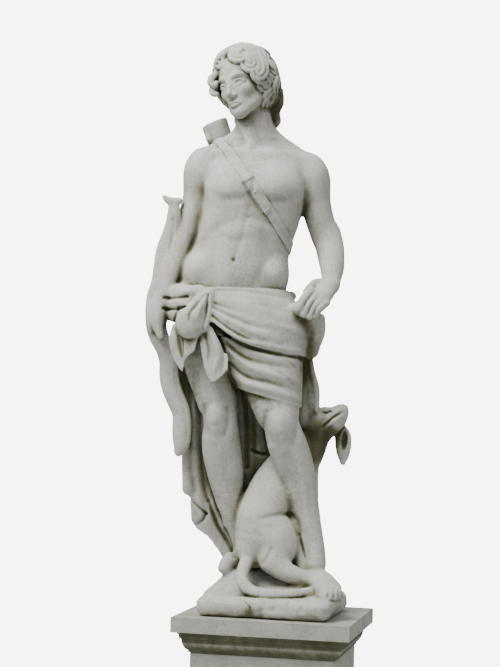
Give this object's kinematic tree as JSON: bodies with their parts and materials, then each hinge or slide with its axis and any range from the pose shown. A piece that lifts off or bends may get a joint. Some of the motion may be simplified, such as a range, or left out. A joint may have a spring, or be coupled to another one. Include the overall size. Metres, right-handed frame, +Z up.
{
  "type": "hunter garden statue on pedestal",
  "caption": "Life-size garden statue of a young huntsman in a hip cloth, with a bow, a quiver and a seated hound, on a moulded stone pedestal.",
  "frame": {"origin": "centre of the pedestal's underside, on the ground", "axes": "+Z up, the pedestal's front looks along -Y, and +X is on the right as it is seen from the front"},
  "size_m": [0.685, 0.47, 2.6052],
  "materials": {
    "statue_stone": "pale cream-grey cast stone, matt and weathered, with green algae in the hollows",
    "pedestal_stone": "grey cast stone, matt and weathered, with brown stains along the mouldings"
  },
  "bodies": {
    "root": {"statue": "statue_stone", "pedestal_cap": "pedestal_stone", "pedestal_die": "pedestal_stone", "pedestal_base": "pedestal_stone"}
  },
  "joints": []
}
